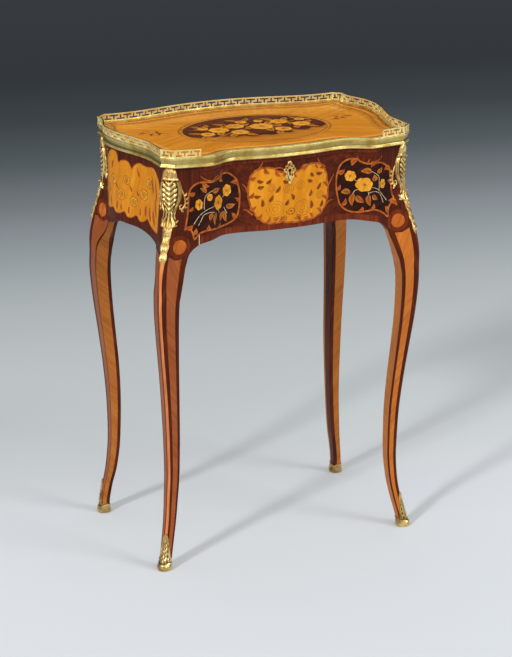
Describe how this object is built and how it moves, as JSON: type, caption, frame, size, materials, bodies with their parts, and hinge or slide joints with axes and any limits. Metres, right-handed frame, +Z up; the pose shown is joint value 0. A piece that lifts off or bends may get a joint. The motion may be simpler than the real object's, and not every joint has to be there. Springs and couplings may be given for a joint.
{
  "type": "writing table",
  "caption": "Small serpentine writing table with marquetry top, pierced brass gallery, cabriole legs, gilt mounts and a locking frieze drawer that holds a writing slide.",
  "frame": {"origin": "on the floor, under the middle of the bounding box", "axes": "+Z up, the front with the drawer faces -Y, +X to the right of someone who stands in front and looks at it"},
  "size_m": [0.515, 0.336, 0.75],
  "materials": {
    "kingwood": "french polished dark veneer with floral marquetry",
    "tulipwood": "french polished veneer with dark crossbanding",
    "satinwood": "french polished veneer",
    "oak": "waxed",
    "gilt": "chased and aged gilt",
    "lock_brass": "plain rolled sheet",
    "bolt_steel": "filed steel",
    "leather": "smooth waxed hide"
  },
  "bodies": {
    "table": {"leg_front_left": "tulipwood", "leg_front_right": "tulipwood", "leg_back_left": "tulipwood", "leg_back_right": "tulipwood", "side_apron_left": "kingwood", "side_apron_right": "kingwood", "back_apron": "kingwood", "front_rail": "kingwood", "strike_plate": "lock_brass", "bearer_left": "oak", "bearer_right": "oak", "kicker_left": "oak", "kicker_right": "oak", "drawer_stops": "oak", "glue_blocks": "oak", "top_panel": "satinwood", "top_screws": "bolt_steel", "edge_front": "gilt", "edge_back": "gilt", "edge_left": "gilt", "edge_right": "gilt", "edge_corner_front_left": "gilt", "edge_corner_front_right": "gilt", "edge_corner_back_left": "gilt", "edge_corner_back_right": "gilt", "gallery_back": "gilt", "gallery_left": "gilt", "gallery_right": "gilt", "gallery_rear_corner_left": "gilt", "gallery_rear_corner_right": "gilt", "gallery_front_corner_left": "gilt", "gallery_front_corner_right": "gilt", "corner_mount_front_left": "gilt", "corner_mount_front_right": "gilt", "corner_mount_back_left": "gilt", "corner_mount_back_right": "gilt", "sabot_front_left": "gilt", "sabot_front_right": "gilt", "sabot_back_left": "gilt", "sabot_back_right": "gilt"},
    "drawer": {"drawer_front": "kingwood", "drawer_side_left": "oak", "drawer_side_right": "oak", "drawer_back": "oak", "drawer_bottom": "oak", "escutcheon": "gilt", "lock_case": "lock_brass"},
    "bolt": {"lock_bolt": "bolt_steel"},
    "writing_panel": {"writing_slide": "satinwood", "slide_leather": "leather"}
  },
  "joints": [
    {"name": "drawer_slide", "type": "slide", "parent": "table", "child": "drawer", "axis": [0, -1, 0], "range_m": [0, 0.2]},
    {"name": "bolt_slide", "type": "slide", "parent": "drawer", "child": "bolt", "axis": [0, 0, 1], "range_m": [0, 0.006]},
    {"name": "panel_slide", "type": "slide", "parent": "drawer", "child": "writing_panel", "axis": [0, 1, 0], "range_m": [0, 0.08]}
  ]
}
